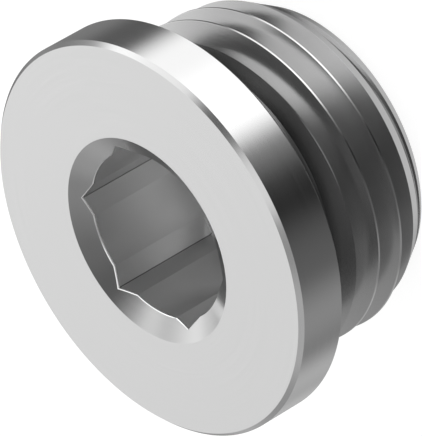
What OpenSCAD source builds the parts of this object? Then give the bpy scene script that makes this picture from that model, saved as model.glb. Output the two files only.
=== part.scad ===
// Screw plug with a collar, a pipe thread and a hexagon socket, turned from one bar.
// It stands on the end of its thread: the axis is Z, and the socket opens upwards.

/* [Collar] */
// Diameter of the collar
collar_d = 25; // [22:0.5:40]
// Thickness of the collar
collar_t = 3.5; // [2.5:0.25:8]
// Edge break round the outer face
face_chamfer = 0.25; // [0.1:0.05:0.8]
// Edge break round the seat side
seat_chamfer = 0.25; // [0.1:0.05:0.8]

/* [Relief] */
// Diameter of the thread relief under the collar
relief_d = 18; // [16:0.1:18.5]
// Width of the relief's floor
relief_w = 2.6; // [2.3:0.1:4]
// Slope of the relief's thread side, from square to the axis
relief_slope = 30; // [10:1:50]

/* [Thread] */
// Length of the shank below the collar, with the relief
shank_l = 10; // [9:0.25:20]
// Outside diameter of the thread
thread_d = 20.955; // [20.5:0.005:21.9]
// Pitch of the thread
pitch = 1.8143; // [1.5:0.0001:2.1]
// Radius of the groove's rounded root, which runs out just above the relief's floor
root_round = 0.17; // [0.1:0.01:0.45]
// Angle between the two flanks
flank_angle = 55; // [50:1:60]
// Width of the flat left on the crest
crest_flat = 0.12; // [0.06:0.01:0.3]
// Angle about Z where the groove's middle leaves the end face
groove_angle = -49; // [-180:1:180]
// Diameter of the end face
end_d = 17.95; // [16:0.05:18.5]
// Slope of the end chamfer, from the axis
end_slope = 30; // [20:1:45]

/* [Socket] */
// Hexagon size across its flats
hex_af = 10; // [6:0.5:12]
// Depth of the hexagon below the outer face
hex_depth = 8; // [3:0.25:9]
// How much wider the pilot hole is than the flats
pilot_over = 0.5; // [0.1:0.05:1.2]
// How much deeper the pilot hole is than the hexagon
pilot_under = 0.15; // [0.05:0.05:1]
// Point angle of the pilot's drill
drill_angle = 118; // [90:1:150]
// How far the countersink reaches past the hexagon's corners
sink_margin = 0.73; // [0.3:0.01:1.5]
// Angle of the countersink
sink_angle = 118; // [90:1:130]

/* [Hidden] */

// Facets of a round surface, and of the thread's groove along one turn
$fn = 144;
groove_steps = 48;
// Facets of the groove's round root
root_steps = 4;
// How far a cutting shape stands past the surface it opens
over = 0.5;

overall_l = collar_t + shank_l;
thread_r = thread_d / 2;
relief_r = relief_d / 2;
end_r = end_d / 2;
collar_r = collar_d / 2;

// The relief's thread side rises from the floor to the thread's outside
relief_top = shank_l;
relief_low = relief_top - relief_w;
thread_top = relief_low - (thread_r - relief_r) * tan(relief_slope);
chamfer_top = (thread_r - end_r) / tan(end_slope);

// The groove's flanks run on to a sharp point, and an arc rounds it off at the root
half_angle = flank_angle / 2;
groove_half = (pitch - crest_flat) / 2;
point_r = thread_r - groove_half / tan(half_angle);
root_centre_r = point_r + root_round / sin(half_angle);
// The flanks are cut a little wider than the thread, and still clear of the next turn
flank_r = thread_r + crest_flat / 4;
flank_half = groove_half + crest_flat / 4 * tan(half_angle);

// The groove starts below the end face and runs out in the relief
groove_low = -pitch;
groove_high = relief_low + pitch / 2 + over / 4;
turn_low = groove_low / pitch * 360 + groove_angle;
groove_rings = ceil((groove_high - groove_low) / pitch * groove_steps);

// Outline of the groove, as [distance along the axis, radius], from one side to the other
groove_outline = concat(
    [[-flank_half, thread_r + over], [-flank_half, flank_r]],
    [for (i = [0 : root_steps])
        let (a = (i / root_steps * 2 - 1) * (90 - half_angle))
        [root_round * sin(a), root_centre_r - root_round * cos(a)]],
    [[flank_half, flank_r], [flank_half, thread_r + over]]
);

pilot_r = (hex_af + pilot_over) / 2;
hex_r = hex_af / 2 / cos(30);
sink_r = hex_r + sink_margin;
pilot_floor = overall_l - hex_depth - pilot_under;

// Section of the turned blank
module blank() {
    rotate_extrude()
        polygon([
            [0, 0],
            [end_r, 0],
            [thread_r, chamfer_top],
            [thread_r, thread_top],
            [relief_r, relief_low],
            [relief_r, relief_top],
            [collar_r - seat_chamfer, relief_top],
            [collar_r, relief_top + seat_chamfer],
            [collar_r, overall_l - face_chamfer],
            [collar_r - face_chamfer, overall_l],
            [0, overall_l]
        ]);
}

// Helical groove between the threads, closed at both ends
module thread_groove() {
    n = len(groove_outline);
    rings = [for (k = [0 : groove_rings], p = groove_outline)
        let (turn = turn_low + k / groove_steps * 360,
             rise = groove_low + k / groove_steps * pitch)
        [p[1] * cos(turn), p[1] * sin(turn), rise + p[0]]];
    sides = [for (k = [0 : groove_rings - 1], i = [0 : n - 1], half = [0, 1])
        let (a = k * n + i, b = k * n + (i + 1) % n)
        half == 0 ? [a, b + n, b] : [a, a + n, b + n]];
    first = [[for (i = [0 : n - 1]) i]];
    last = [[for (i = [n - 1 : -1 : 0]) groove_rings * n + i]];
    polyhedron(points = rings, faces = concat(sides, first, last), convexity = 12);
}

// Pilot hole with its drill point, the hexagon pressed into it, and the countersink
module socket() {
    translate([0, 0, pilot_floor]) {
        cylinder(r = pilot_r, h = overall_l - pilot_floor + over);
        translate([0, 0, -pilot_r / tan(drill_angle / 2)])
            cylinder(r1 = 0, r2 = pilot_r, h = pilot_r / tan(drill_angle / 2));
    }
    translate([0, 0, overall_l - hex_depth])
        cylinder(r = hex_r, h = hex_depth + over, $fn = 6);
    translate([0, 0, overall_l - sink_r / tan(sink_angle / 2)])
        cylinder(r1 = 0, r2 = sink_r + over, h = (sink_r + over) / tan(sink_angle / 2));
}

module plug_body() {
    color("silver")
        difference() {
            blank();
            thread_groove();
            socket();
        }
}

plug_body();
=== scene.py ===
import bpy
import math
from mathutils import Matrix, Vector


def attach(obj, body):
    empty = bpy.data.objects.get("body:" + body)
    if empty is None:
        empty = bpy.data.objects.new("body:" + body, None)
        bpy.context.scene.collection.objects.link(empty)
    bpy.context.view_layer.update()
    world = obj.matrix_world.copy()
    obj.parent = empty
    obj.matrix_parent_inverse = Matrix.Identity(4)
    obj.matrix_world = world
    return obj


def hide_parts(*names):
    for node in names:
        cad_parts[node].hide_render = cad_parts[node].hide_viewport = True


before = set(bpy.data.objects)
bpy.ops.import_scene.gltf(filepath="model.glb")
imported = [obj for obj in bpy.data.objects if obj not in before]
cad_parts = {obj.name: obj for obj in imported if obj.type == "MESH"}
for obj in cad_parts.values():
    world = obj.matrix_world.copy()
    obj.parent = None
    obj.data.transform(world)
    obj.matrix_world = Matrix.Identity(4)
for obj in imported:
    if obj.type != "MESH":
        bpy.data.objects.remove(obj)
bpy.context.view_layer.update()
MM = 0.001

# The plug's own sizes, the same as in the solid, in millimetres
COLLAR_D, COLLAR_T = 25.0, 3.5
COLLAR_CHAMFER = 0.25
SHANK_L = 10.0
RELIEF_D, RELIEF_W, RELIEF_SLOPE = 18.0, 2.6, 30.0
THREAD_D, PITCH = 20.955, 1.8143
FLANK_ANGLE, CREST_FLAT, ROOT_ROUND = 55.0, 0.12, 0.17
GROOVE_ANGLE = -49.0
END_D, END_SLOPE = 17.95, 30.0
HEX_AF, HEX_DEPTH = 10.0, 8.0
PILOT_OVER, PILOT_UNDER, DRILL_ANGLE = 0.5, 0.15, 118.0
SINK_MARGIN, SINK_ANGLE = 0.73, 118.0
# Edge break left by the brush round the socket's mouth
MOUTH_BREAK = 0.07
# Facets round the axis, along one turn of the groove, and round the groove's root
ROUND, TURN_STEPS, ROOT_STEPS = 288, 288, 16
# Edges sharper than this are broken at the mouth, and edges flatter than this are shaded smooth
SHARP_EDGE, SMOOTH_EDGE = 20, 12
# Points closer than this are one point
DOUBLES = 0.002
# How far from a face a point still counts as on it, and how far off it is surely clear of it
NEAR, CLEAR = 0.02, 0.1

# Marks in the finish, in millimetres: the lathe's feed, the broach's streaks and the plating's clouds.
# A real feed of 0.05 is too fine to show, so it is drawn at three times that.
FEED, RING_LENGTH = 0.15, 0.8
STREAK, STREAK_LENGTH = 0.25, 6.0
CLOUD, MARK_HEIGHT = 4.0, 0.0008
# Values that a noise pattern rarely leaves
NOISE_LOW, NOISE_HIGH = 0.3, 0.7
# Roughness in the smoothest and the roughest marks, and what the clouds add
SHEEN_LOW, SHEEN_HIGH, HAZE = 0.17, 0.19, 0.02
# How much rougher the thread and the socket are, and how much smoother the countersink
THREAD_DULL, SOCKET_DULL, SINK_SHINE = 0.04, 0.16, 0.06
# Width of the dark line of painted shade in each of the hexagon's corners
CORNER_SHADE_WIDTH = 0.04
# Where each mask of finish and painted light starts and is full: the depth in the thread, the depth in the
# socket, the distance of the mouth's painted highlight from the countersink's cone, and the height above the
# relief's lower end
THREAD_FADE = (0.01, 0.05)
SOCKET_FADE = (0.08, 0.14)
MOUTH_HIGHLIGHT_FADE = (0.001, 0.006)
RELIEF_FADE = (-0.3, 0.1)
# How much of a normal points up the axis where the feed rings turn from the round faces to the flat ones
FLAT_FADE = (0.6, 0.8)

# Radius of the floor in metres, and its glow for the camera, which leaves a faint shadow
FLOOR_R, FLOOR_GLOW = 1.5, 0.84
# How far the floor lies under the plug in millimetres, so that the two faces don't flicker
FLOOR_GAP = 0.02

overall_l = COLLAR_T + SHANK_L
thread_r = THREAD_D / 2
relief_r = RELIEF_D / 2
relief_low = SHANK_L - RELIEF_W
thread_top = relief_low - (thread_r - relief_r) * math.tan(math.radians(RELIEF_SLOPE))
chamfer_top = (thread_r - END_D / 2) / math.tan(math.radians(END_SLOPE))
hex_r = HEX_AF / 2 / math.cos(math.radians(30))
pilot_r = (HEX_AF + PILOT_OVER) / 2
pilot_floor = overall_l - HEX_DEPTH - PILOT_UNDER
drill_tip = pilot_floor - pilot_r / math.tan(math.radians(DRILL_ANGLE / 2))
sink_r = hex_r + SINK_MARGIN
sink_slope = math.tan(math.radians(SINK_ANGLE / 2))
sink_low = overall_l - (sink_r - pilot_r) / sink_slope
# Middle of the wall between the socket and the relief
wall_r = (hex_r + relief_r) / 2


def linear(hex_colour):
    """An sRGB hex value as linear RGBA."""
    parts = [int(hex_colour[i:i + 2], 16) / 255 for i in (1, 3, 5)]
    return [c / 12.92 if c <= 0.04045 else ((c + 0.055) / 1.055) ** 2.4 for c in parts] + [1.0]


def add_node(tree, kind, links=None, **settings):
    """A node with its settings, and links given as input: output socket."""
    node = tree.nodes.new(kind)
    inputs = settings.pop("inputs", {})
    for name, value in settings.items():
        setattr(node, name, value)
    for name, value in inputs.items():
        node.inputs[name].default_value = value
    for name, socket in (links or {}).items():
        tree.links.new(socket, node.inputs[name])
    return node


def start_clean():
    """Nothing selected, in object mode, so that an operator acts on the new piece alone."""
    if bpy.context.object and bpy.context.object.mode != "OBJECT":
        bpy.ops.object.mode_set(mode="OBJECT")
    bpy.ops.object.select_all(action="DESELECT")


def next_ring(radius, height):
    """Extrudes the selected ring of edges and sets the new ring's radius and height, in millimetres."""
    bpy.ops.mesh.extrude_edges_move()
    bpy.ops.object.mode_set(mode="OBJECT")
    ring = [v.co for v in bpy.context.object.data.vertices if v.select]
    now_r, now_z = ring[0].xy.length, ring[0].z
    bpy.ops.object.mode_set(mode="EDIT")
    grow = radius * MM / now_r
    bpy.ops.transform.resize(value=(grow, grow, 1), center_override=(0, 0, 0))
    bpy.ops.transform.translate(value=(0, 0, height * MM - now_z))


def turned_blank():
    """The blank with its pilot hole and countersink, ring by ring up the outside and down the hole."""
    start_clean()
    bpy.ops.mesh.primitive_circle_add(vertices=ROUND, radius=END_D / 2 * MM, fill_type="NGON")
    plug = bpy.context.object
    bpy.ops.object.mode_set(mode="EDIT")
    bpy.ops.mesh.select_all(action="SELECT")
    bpy.ops.mesh.select_mode(type="EDGE")
    bpy.ops.mesh.region_to_loop()
    collar_r = COLLAR_D / 2
    outline = [
        (thread_r, chamfer_top), (thread_r, thread_top),
        (relief_r, relief_low), (relief_r, SHANK_L),
        (collar_r - COLLAR_CHAMFER, SHANK_L), (collar_r, SHANK_L + COLLAR_CHAMFER),
        (collar_r, overall_l - COLLAR_CHAMFER), (collar_r - COLLAR_CHAMFER, overall_l),
        (sink_r, overall_l), (pilot_r, sink_low), (pilot_r, pilot_floor),
    ]
    for radius, height in outline:
        next_ring(radius, height)
    bpy.ops.mesh.extrude_edges_move()
    bpy.ops.mesh.select_mode(type="VERT")
    bpy.ops.mesh.merge(type="CENTER")
    bpy.ops.transform.translate(value=(0, 0, (drill_tip - pilot_floor) * MM))
    bpy.ops.mesh.select_all(action="SELECT")
    bpy.ops.mesh.normals_make_consistent(inside=False)
    bpy.ops.object.mode_set(mode="OBJECT")
    return plug


def pick_vertices(piece, wanted):
    """Selects the vertices for which wanted(vertex) is true, from edit mode and back to it."""
    bpy.ops.mesh.select_mode(type="VERT")
    bpy.ops.mesh.select_all(action="DESELECT")
    bpy.ops.object.mode_set(mode="OBJECT")
    for v in piece.data.vertices:
        v.select = wanted(v)
    bpy.ops.object.mode_set(mode="EDIT")


def thread_groove():
    """The groove between the threads as a closed cutting shape: a V with a round root, on a helix."""
    half_angle = math.radians(FLANK_ANGLE / 2)
    clear = CREST_FLAT / 4
    out_r = thread_r + clear
    out_half = (PITCH - CREST_FLAT) / 2 + clear * math.tan(half_angle)
    point_r = out_r - out_half / math.tan(half_angle)
    centre = Vector((point_r + ROOT_ROUND / math.sin(half_angle), 0, -PITCH))
    flank_end = centre + ROOT_ROUND * Vector((-math.sin(half_angle), 0, -math.cos(half_angle)))
    turns = (relief_low + 2 * PITCH) / PITCH
    start_clean()
    bpy.ops.mesh.primitive_plane_add(size=ROOT_ROUND * MM, location=flank_end * MM)
    groove = bpy.context.object
    bpy.ops.object.transform_apply(location=True)
    bpy.ops.object.mode_set(mode="EDIT")
    bpy.ops.mesh.select_mode(type="VERT")
    bpy.ops.mesh.select_all(action="SELECT")
    bpy.ops.mesh.merge(type="CENTER")
    bpy.ops.mesh.spin(steps=ROOT_STEPS, angle=math.pi - 2 * half_angle, center=centre * MM, axis=(0, -1, 0))
    root_half = centre.z - flank_end.z
    for side in (1, -1):
        pick_vertices(groove, lambda v: (v.co.z / MM - centre.z) * side > root_half - DOUBLES)
        corner = Vector((out_r, 0, centre.z + side * out_half)) * MM
        place = next(v.co for v in groove.data.vertices if v.select)
        bpy.ops.mesh.extrude_vertices_move(TRANSFORM_OT_translate={"value": corner - place})
    pick_vertices(groove, lambda v: v.co.x > (out_r - DOUBLES) * MM)
    bpy.ops.mesh.edge_face_add()
    bpy.ops.mesh.select_all(action="SELECT")
    bpy.ops.transform.rotate(value=-math.radians(GROOVE_ANGLE), orient_axis="Z", center_override=(0, 0, 0))
    bpy.ops.object.mode_set(mode="OBJECT")
    bpy.ops.object.modifier_add(type="SCREW")
    screw = groove.modifiers[-1]
    screw.axis = "Z"
    screw.angle = math.radians(360 * turns)
    screw.screw_offset = PITCH * turns * MM
    screw.steps = screw.render_steps = round(TURN_STEPS * turns)
    screw.use_merge_vertices = False
    bpy.ops.object.modifier_apply(modifier=screw.name)
    bpy.ops.object.mode_set(mode="EDIT")
    bpy.ops.mesh.select_mode(type="EDGE")
    bpy.ops.mesh.select_all(action="DESELECT")
    bpy.ops.mesh.select_non_manifold()
    bpy.ops.mesh.fill_holes(sides=0)
    bpy.ops.mesh.select_all(action="SELECT")
    bpy.ops.mesh.normals_make_consistent(inside=False)
    bpy.ops.object.mode_set(mode="OBJECT")
    return groove


def hexagon_broach():
    """The hexagon pressed into the pilot hole, as a cutting shape with one corner on +X."""
    start_clean()
    height = HEX_DEPTH + 1
    bpy.ops.mesh.primitive_cylinder_add(vertices=6, radius=hex_r * MM, depth=height * MM,
                                        location=(0, 0, (overall_l - HEX_DEPTH + height / 2) * MM),
                                        rotation=(0, 0, math.radians(30)))
    broach = bpy.context.object
    bpy.ops.object.transform_apply(location=True, rotation=True, scale=True)
    return broach


def cut(piece, tool):
    """Takes the tool's shape out of the piece."""
    start_clean()
    bpy.context.view_layer.objects.active = piece
    piece.select_set(True)
    bpy.ops.object.modifier_add(type="BOOLEAN")
    boolean = piece.modifiers[-1]
    boolean.operation = "DIFFERENCE"
    boolean.solver = "EXACT"
    boolean.object = tool
    bpy.ops.object.modifier_apply(modifier=boolean.name)
    bpy.data.objects.remove(tool)


def break_mouth(plug):
    """Breaks the sharp edge where the countersink meets the pilot hole and the hexagon."""
    start_clean()
    bpy.context.view_layer.objects.active = plug
    bpy.ops.object.mode_set(mode="EDIT")
    bpy.ops.mesh.select_all(action="SELECT")
    bpy.ops.mesh.remove_doubles(threshold=DOUBLES * MM)
    bpy.ops.mesh.select_mode(type="EDGE")
    bpy.ops.mesh.select_all(action="DESELECT")
    bpy.ops.mesh.edges_select_sharp(sharpness=math.radians(SHARP_EDGE))
    bpy.ops.object.mode_set(mode="OBJECT")
    points = [(v.co.xy.length / MM, v.co.z / MM) for v in plug.data.vertices]
    on_cone = [pilot_r - NEAR < r < hex_r + NEAR
               and abs(z - sink_low - (r - pilot_r) / sink_slope) < NEAR / 2 for r, z in points]
    for edge in plug.data.edges:
        edge.select = edge.select and all(on_cone[v] for v in edge.vertices)
    bpy.ops.object.mode_set(mode="EDIT")
    bpy.ops.mesh.bevel(offset=MOUTH_BREAK * MM, segments=2, affect="EDGES")
    bpy.ops.object.mode_set(mode="OBJECT")


def screw_plug():
    """The whole plug, one turned piece."""
    plug = turned_blank()
    cut(plug, hexagon_broach())
    break_mouth(plug)
    cut(plug, thread_groove())
    start_clean()
    bpy.context.view_layer.objects.active = plug
    plug.select_set(True)
    bpy.ops.object.shade_smooth_by_angle(angle=math.radians(SMOOTH_EDGE))
    plug.name = "plug"
    return plug


def surface_places(tree):
    """Where a point of the surface is: its radius, height and turn, and its way along the lathe's feed."""
    coordinates = add_node(tree, "ShaderNodeTexCoord")
    across = add_node(tree, "ShaderNodeVectorMath", {0: coordinates.outputs["Object"]}, operation="MULTIPLY",
                      inputs={1: (1, 1, 0)})
    radius = add_node(tree, "ShaderNodeVectorMath", {0: across.outputs[0]}, operation="LENGTH")
    point = add_node(tree, "ShaderNodeSeparateXYZ", {0: coordinates.outputs["Object"]})
    turn = add_node(tree, "ShaderNodeMath", {0: point.outputs["Y"], 1: point.outputs["X"]},
                    operation="ARCTAN2")
    facing = add_node(tree, "ShaderNodeSeparateXYZ", {0: coordinates.outputs["Normal"]})
    steep = add_node(tree, "ShaderNodeMath", {0: facing.outputs["Z"]}, operation="ABSOLUTE")
    flat = add_node(tree, "ShaderNodeMapRange", {"Value": steep.outputs[0]},
                    inputs={"From Min": FLAT_FADE[0], "From Max": FLAT_FADE[1]})
    feed_way = add_node(tree, "ShaderNodeMix", {"Factor": flat.outputs[0], "A": point.outputs["Z"],
                                                "B": radius.outputs["Value"]}, data_type="FLOAT")
    return {"object": coordinates.outputs["Object"], "radius": radius.outputs["Value"],
            "height": point.outputs["Z"], "turn": turn.outputs[0], "feed way": feed_way.outputs[0]}


def socket_places(tree, place):
    """Adds the masks of the socket's walls, the countersink, the mouth's painted highlight and the corners'
    painted shade.
    """
    cone = add_node(tree, "ShaderNodeMath", {0: place["radius"]}, operation="MULTIPLY_ADD",
                    inputs={1: 1 / sink_slope, 2: (sink_low - pilot_r / sink_slope) * MM})
    sunk = add_node(tree, "ShaderNodeMath", {0: cone.outputs[0], 1: place["height"]}, operation="SUBTRACT")
    under = add_node(tree, "ShaderNodeMapRange", {"Value": sunk.outputs[0]},
                     inputs={"From Min": SOCKET_FADE[0] * MM, "From Max": SOCKET_FADE[1] * MM})
    inside = add_node(tree, "ShaderNodeMath", {0: place["radius"]}, operation="LESS_THAN",
                      inputs={1: (hex_r + CLEAR) * MM})
    # The walls mask paints the socket's walls lighter, as painted light, and also makes them rougher and
    # streaked
    walls = add_node(tree, "ShaderNodeMath", {0: under.outputs[0], 1: inside.outputs[0]},
                     operation="MULTIPLY")
    off_walls = add_node(tree, "ShaderNodeMath", {1: walls.outputs[0]}, operation="SUBTRACT",
                         inputs={0: 1.0})
    in_mouth = add_node(tree, "ShaderNodeMath", {0: place["radius"]}, operation="LESS_THAN",
                        inputs={1: (sink_r - NEAR) * MM})
    countersink = add_node(tree, "ShaderNodeMath", {0: in_mouth.outputs[0], 1: off_walls.outputs[0]},
                           operation="MULTIPLY")

    # Painted highlight: a near-white band of colour along the mouth's broken edge
    off_cone = add_node(tree, "ShaderNodeMath", {0: sunk.outputs[0]}, operation="ABSOLUTE")
    mouth_highlight = add_node(tree, "ShaderNodeMapRange", {"Value": off_cone.outputs[0]},
                      inputs={"From Min": MOUTH_HIGHLIGHT_FADE[0] * MM, "From Max": MOUTH_HIGHLIGHT_FADE[1] * MM})
    mouth_highlight = add_node(tree, "ShaderNodeMath", {0: mouth_highlight.outputs[0], 1: inside.outputs[0]},
                      operation="MULTIPLY")
    mouth_highlight = add_node(tree, "ShaderNodeMath", {0: mouth_highlight.outputs[0], 1: off_walls.outputs[0]},
                      operation="MULTIPLY")

    # Painted shade: a dark line of colour down each of the hexagon's corners
    sixth = add_node(tree, "ShaderNodeMath", {0: place["turn"]}, operation="PINGPONG",
                     inputs={1: math.pi / 6})
    beside = add_node(tree, "ShaderNodeMapRange", {"Value": sixth.outputs[0]},
                      inputs={"From Min": CORNER_SHADE_WIDTH / 2 / hex_r, "From Max": CORNER_SHADE_WIDTH / hex_r,
                              "To Min": 1.0, "To Max": 0.0})
    off_pilot = add_node(tree, "ShaderNodeMath", {0: place["radius"]}, operation="GREATER_THAN",
                         inputs={1: (pilot_r + CLEAR / 2) * MM})
    corner = add_node(tree, "ShaderNodeMath", {0: beside.outputs[0], 1: walls.outputs[0]},
                      operation="MULTIPLY")
    corner = add_node(tree, "ShaderNodeMath", {0: corner.outputs[0], 1: off_pilot.outputs[0]},
                      operation="MULTIPLY")
    place.update({"walls": walls.outputs[0], "countersink": countersink.outputs[0],
                  "painted_highlight": mouth_highlight.outputs[0], "corner": corner.outputs[0]})


def shank_places(tree, place):
    """Adds the masks of the thread's groove, and of the relief's floor with the seat."""
    beyond_wall = add_node(tree, "ShaderNodeMath", {0: place["radius"]}, operation="GREATER_THAN",
                           inputs={1: wall_r * MM})
    above_end = add_node(tree, "ShaderNodeMath", {0: place["height"]}, operation="GREATER_THAN",
                         inputs={1: NEAR * MM})
    below_seat = add_node(tree, "ShaderNodeMath", {0: place["height"]}, operation="LESS_THAN",
                          inputs={1: (SHANK_L - NEAR) * MM})
    shank = add_node(tree, "ShaderNodeMath", {0: above_end.outputs[0], 1: below_seat.outputs[0]},
                     operation="MULTIPLY")
    shank = add_node(tree, "ShaderNodeMath", {0: shank.outputs[0], 1: beyond_wall.outputs[0]},
                     operation="MULTIPLY")
    # The outside that the thread and its end chamfer share
    chamfer = add_node(tree, "ShaderNodeMath", {0: place["height"]}, operation="MULTIPLY_ADD",
                       inputs={1: math.tan(math.radians(END_SLOPE)), 2: END_D / 2 * MM})
    outside = add_node(tree, "ShaderNodeMath", {0: chamfer.outputs[0]}, operation="MINIMUM",
                       inputs={1: thread_r * MM})
    depth = add_node(tree, "ShaderNodeMath", {0: outside.outputs[0], 1: place["radius"]},
                     operation="SUBTRACT")
    under = add_node(tree, "ShaderNodeMapRange", {"Value": depth.outputs[0]},
                     inputs={"From Min": THREAD_FADE[0] * MM, "From Max": THREAD_FADE[1] * MM})
    # The groove mask paints the thread darker, as painted shade, and also makes it rougher without the tool
    # marks' bump
    groove = add_node(tree, "ShaderNodeMath", {0: under.outputs[0], 1: shank.outputs[0]},
                      operation="MULTIPLY")

    # The relief mask paints the relief's floor and the seat dark, as painted shade
    above_thread = add_node(tree, "ShaderNodeMapRange", {"Value": place["height"]},
                            inputs={"From Min": (relief_low + RELIEF_FADE[0]) * MM,
                                    "From Max": (relief_low + RELIEF_FADE[1]) * MM})
    to_seat = add_node(tree, "ShaderNodeMath", {0: place["height"]}, operation="LESS_THAN",
                       inputs={1: (SHANK_L + NEAR) * MM})
    to_seat = add_node(tree, "ShaderNodeMath", {0: to_seat.outputs[0], 1: beyond_wall.outputs[0]},
                       operation="MULTIPLY")
    relief = add_node(tree, "ShaderNodeMath", {0: above_thread.outputs[0], 1: to_seat.outputs[0]},
                      operation="MULTIPLY")
    place.update({"groove": groove.outputs[0], "relief": relief.outputs[0]})


def tool_marks(tree, place):
    """The lathe's feed rings, which run round the axis, and the broach's streaks down the socket."""
    ring_point = add_node(tree, "ShaderNodeCombineXYZ", {"X": place["feed way"], "Y": place["turn"]})
    ring_scale = add_node(tree, "ShaderNodeVectorMath", {0: ring_point.outputs[0]}, operation="MULTIPLY",
                          inputs={1: (1 / (FEED * MM), RING_LENGTH, 1)})
    rings = add_node(tree, "ShaderNodeTexNoise", {"Vector": ring_scale.outputs[0]},
                     inputs={"Scale": 1.0, "Detail": 3.0, "Roughness": 0.6})
    streak_point = add_node(tree, "ShaderNodeCombineXYZ", {"X": place["turn"], "Y": place["height"]})
    streak_scale = add_node(tree, "ShaderNodeVectorMath", {0: streak_point.outputs[0]}, operation="MULTIPLY",
                            inputs={1: (pilot_r / STREAK, 1 / (STREAK_LENGTH * MM), 1)})
    streaks = add_node(tree, "ShaderNodeTexNoise", {"Vector": streak_scale.outputs[0]},
                       inputs={"Scale": 1.0, "Detail": 2.0, "Roughness": 0.5})
    marks = add_node(tree, "ShaderNodeMix", {"Factor": place["walls"], "A": rings.outputs["Fac"],
                                             "B": streaks.outputs["Fac"]}, data_type="FLOAT")
    return marks.outputs[0]


def plating_colour(tree, place, marks):
    """The plating's tone, with painted light and shade laid over it in places.

    The socket's walls are painted lighter, as painted light. Down in the thread the colour is darker, as
    painted shade. The relief's floor and the seat are painted darkest, as painted shade. The hexagon's six
    corners get a dark line of painted shade, and the mouth's broken edge a painted highlight.
    """
    tone = add_node(tree, "ShaderNodeMix", {"Factor": marks}, data_type="RGBA",
                    inputs={"A": linear("#D8D8D8"), "B": linear("#DEDEDE")})
    # Each layer over the tool marks is painted light or shade: lighter walls, darker thread, darkest relief
    # and seat, dark corner lines, bright mouth edge
    over = [("walls", "#E3E3E3"), ("groove", "#C8C8C8"), ("relief", "#848484"),
            ("corner", "#808080"), ("painted_highlight", "#FAFAFA")]
    for where, colour in over:
        layer = add_node(tree, "ShaderNodeMix", {"Factor": place[where]}, data_type="RGBA",
                         inputs={"B": linear(colour)})
        tree.links.new(tone.outputs["Result"], layer.inputs["A"])
        tone = layer
    return tone.outputs["Result"]


def plating_roughness(tree, place, marks):
    """Uneven with the tool marks and the plating's clouds, duller in the thread and the socket."""
    cloud = add_node(tree, "ShaderNodeTexNoise", {"Vector": place["object"]},
                     inputs={"Scale": 1 / (CLOUD * MM), "Detail": 2.0})
    sheen = add_node(tree, "ShaderNodeMapRange", {"Value": marks},
                     inputs={"From Min": NOISE_LOW, "From Max": NOISE_HIGH,
                             "To Min": SHEEN_LOW, "To Max": SHEEN_HIGH}).outputs[0]
    added = [(cloud.outputs["Fac"], HAZE), (place["walls"], SOCKET_DULL), (place["groove"], THREAD_DULL),
             (place["countersink"], -SINK_SHINE)]
    for where, amount in added:
        sheen = add_node(tree, "ShaderNodeMath", {0: where, 2: sheen}, operation="MULTIPLY_ADD",
                         inputs={1: amount}).outputs[0]
    return sheen


def plated_steel():
    """Steel turned on a lathe, then plated bright and passivated: a neutral mirror that is a little soft.

    The cutting tool's feed leaves fine rings under the plating, round the axis on the flat faces and
    along it on the round ones. The broached and drilled socket is duller, with streaks along its depth.
    """
    material = bpy.data.materials.new("plated_turned_steel")
    material.use_nodes = True
    tree = material.node_tree
    shader = tree.nodes["Principled BSDF"]
    shader.inputs["Metallic"].default_value = 1.0
    place = surface_places(tree)
    socket_places(tree, place)
    shank_places(tree, place)
    marks = tool_marks(tree, place)
    tree.links.new(plating_colour(tree, place, marks), shader.inputs["Base Color"])
    tree.links.new(plating_roughness(tree, place, marks), shader.inputs["Roughness"])
    # The plating fills the marks in the thread
    marked = add_node(tree, "ShaderNodeMath", {1: place["groove"]}, operation="SUBTRACT", inputs={0: 1.0})
    bump = add_node(tree, "ShaderNodeBump", {"Height": marks, "Strength": marked.outputs[0]},
                    inputs={"Distance": MARK_HEIGHT * MM})
    tree.links.new(bump.outputs[0], shader.inputs["Normal"])
    return material


# The photograph's view: how far the axis leans from the picture plane, its turn in the picture, and the
# turn of the hexagon round the axis
AXIS_LEAN, AXIS_TURN = math.radians(34.903), math.radians(30.138)
HEX_TURN = math.radians(14.59)
# The camera's distance, the place of the outer face's centre in the picture, and the lens, in millimetres
VIEW_DISTANCE = 367.9
FACE_RIGHT, FACE_DOWN = -3.7152, 1.3383
LENS = 528.5


def photo_camera():
    """A long lens, rolled so that the socket's face looks to the lower left."""
    side = Vector((math.cos(HEX_TURN), math.sin(HEX_TURN), 0))
    towards = Vector((-math.sin(HEX_TURN), math.cos(HEX_TURN), 0))
    down_axis = Vector((0, 0, -1))
    ahead = math.cos(AXIS_LEAN)
    rise = math.sin(AXIS_LEAN)
    right = (ahead * math.cos(AXIS_TURN) * down_axis + math.sin(AXIS_TURN) * side
             + rise * math.cos(AXIS_TURN) * towards)
    up = (ahead * math.sin(AXIS_TURN) * down_axis - math.cos(AXIS_TURN) * side
          + rise * math.sin(AXIS_TURN) * towards)
    back = ahead * towards - rise * down_axis
    face = Vector((0, 0, overall_l))
    place = face - FACE_RIGHT * right + FACE_DOWN * up + VIEW_DISTANCE * back
    data = bpy.data.cameras.new("photo_camera")
    data.lens = LENS
    data.clip_start = 0.01
    camera = bpy.data.objects.new("photo_camera", data)
    bpy.context.scene.collection.objects.link(camera)
    turn = Matrix((right, up, back)).transposed().to_4x4()
    camera.matrix_world = Matrix.Translation(place * MM) @ turn
    bpy.context.scene.camera = camera


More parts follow.
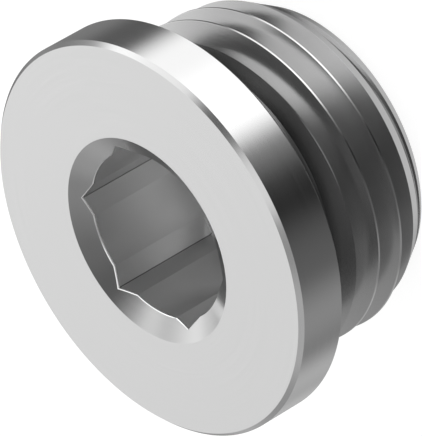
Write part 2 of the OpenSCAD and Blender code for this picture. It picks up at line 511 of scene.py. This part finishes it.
# Soft lights as the camera sees them: name, way to it (right, up, towards the camera), the angles from its
# middle at which it starts and stops fading, and its level, where 1 is white
SOFT_LIGHTS = [
    ("ceiling", (-0.71, -0.41, 0.57), 60, 105, 0.12),
    ("top softbox", (0.25, 0.97, 0.00), 22, 40, 1.32),
    ("top right fill", (0.55, 0.80, 0.15), 0, 34, 0.32),
    ("high left softbox", (-0.77, 0.53, 0.36), 18, 32, 1.03),
    ("left softbox", (-0.98, 0.02, 0.02), 0, 38, 0.52),
    ("low left softbox", (-0.79, -0.61, 0.04), 0, 34, 0.25),
    ("card in the face", (-0.88, -0.32, -0.35), 0, 34, 0.57),
    ("left backdrop", (-0.82, 0.08, -0.56), 0, 28, 0.12),
    ("far left backdrop", (-0.70, -0.16, -0.70), 0, 34, 0.42),
    ("high left backdrop", (-0.86, 0.44, -0.24), 0, 34, 0.13),
    ("right backdrop", (0.62, 0.30, -0.72), 12, 32, 0.60),
    ("high backdrop", (-0.15, 0.75, -0.65), 0, 34, 0.12),
    ("middle backdrop", (0.10, 0.15, -0.98), 0, 38, 0.24),
    ("low backdrop", (0.23, -0.43, -0.87), 0, 34, 0.40),
    ("table, right", (0.68, -0.56, -0.47), 0, 38, 0.23),
    ("table, back", (0.00, -0.87, -0.49), 0, 42, 0.28),
    ("table, left", (-0.40, -0.90, 0.15), 0, 36, 0.12),
    ("table, far left", (-0.33, -0.68, -0.65), 0, 26, 0.12),
    ("table, front", (0.20, -0.92, 0.33), 0, 34, 0.35),
    ("right fill", (0.90, -0.40, 0.05), 0, 42, 0.14),
    ("front fill", (0.05, -0.35, 0.94), 0, 50, 0.24),
    ("lamp left of the camera", (-0.28, -0.20, 0.94), 5, 20, 0.60),
    ("right front fill", (0.61, 0.22, 0.76), 0, 34, 0.28),
]


def studio():
    """The room that the metal mirrors, soft lights with dark gaps between them, in front of plain white.

    Only glossy and transmission rays see the lights. The camera sees white, and white lights the floor.
    """
    world = bpy.data.worlds.new("studio")
    bpy.context.scene.world = world
    world.use_nodes = True
    tree = world.node_tree
    view = bpy.context.scene.camera.matrix_world.to_3x3()
    direction = add_node(tree, "ShaderNodeTexCoord").outputs["Generated"]
    total = None
    for name, towards, full, gone, level in SOFT_LIGHTS:
        aim = view @ Vector(towards).normalized()
        near = add_node(tree, "ShaderNodeVectorMath", {0: direction}, operation="DOT_PRODUCT",
                        inputs={1: aim})
        near.label = name
        glow = add_node(tree, "ShaderNodeMapRange", {"Value": near.outputs["Value"]},
                        interpolation_type="SMOOTHSTEP",
                        inputs={"From Min": math.cos(math.radians(gone)),
                                "From Max": math.cos(math.radians(full)), "To Max": level})
        total = glow.outputs[0] if total is None else add_node(
            tree, "ShaderNodeMath", {0: glow.outputs[0], 1: total}, operation="ADD").outputs[0]
    path = add_node(tree, "ShaderNodeLightPath")
    seen = add_node(tree, "ShaderNodeMath", {0: path.outputs["Is Glossy Ray"],
                                             1: path.outputs["Is Transmission Ray"]}, operation="ADD")
    strength = add_node(tree, "ShaderNodeMix", {"Factor": seen.outputs[0], "B": total},
                        data_type="FLOAT", inputs={"A": 1.0})
    tree.links.new(strength.outputs["Result"], tree.nodes["Background"].inputs["Strength"])
    tree.nodes["Background"].inputs["Color"].default_value = linear("#FFFFFF")


def floor():
    """A white floor under the plug that shows its faint shadow."""
    start_clean()
    bpy.ops.mesh.primitive_circle_add(vertices=64, radius=FLOOR_R, fill_type="NGON",
                                      location=(0, 0, -FLOOR_GAP * MM))
    ground = bpy.context.object
    ground.name = "floor"
    # The plug mirrors the studio and not this floor, as in the photograph, where nothing white is under it
    ground.visible_glossy = False
    material = bpy.data.materials.new("white_paper")
    material.use_nodes = True
    tree = material.node_tree
    shader = tree.nodes["Principled BSDF"]
    shader.inputs["Base Color"].default_value = linear("#909090")
    shader.inputs["Roughness"].default_value = 1.0
    shader.inputs["Specular IOR Level"].default_value = 0.0
    path = add_node(tree, "ShaderNodeLightPath")
    seen = add_node(tree, "ShaderNodeMath", {0: path.outputs["Is Camera Ray"],
                                             1: path.outputs["Is Transmission Ray"]}, operation="ADD")
    seen = add_node(tree, "ShaderNodeMath", {0: seen.outputs[0], 1: path.outputs["Is Glossy Ray"]},
                    operation="ADD")
    lit = add_node(tree, "ShaderNodeMath", {0: seen.outputs[0]}, operation="MULTIPLY",
                   inputs={1: FLOOR_GLOW})
    shader.inputs["Emission Color"].default_value = linear("#FFFFFF")
    tree.links.new(lit.outputs[0], shader.inputs["Emission Strength"])
    ground.data.materials.append(material)


photo_camera()
plug = screw_plug()
plug.data.materials.clear()
plug.data.materials.append(plated_steel())
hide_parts("plug_body")
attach(plug, "root")

floor()
studio()

bpy.context.scene.view_settings.view_transform = "Standard"
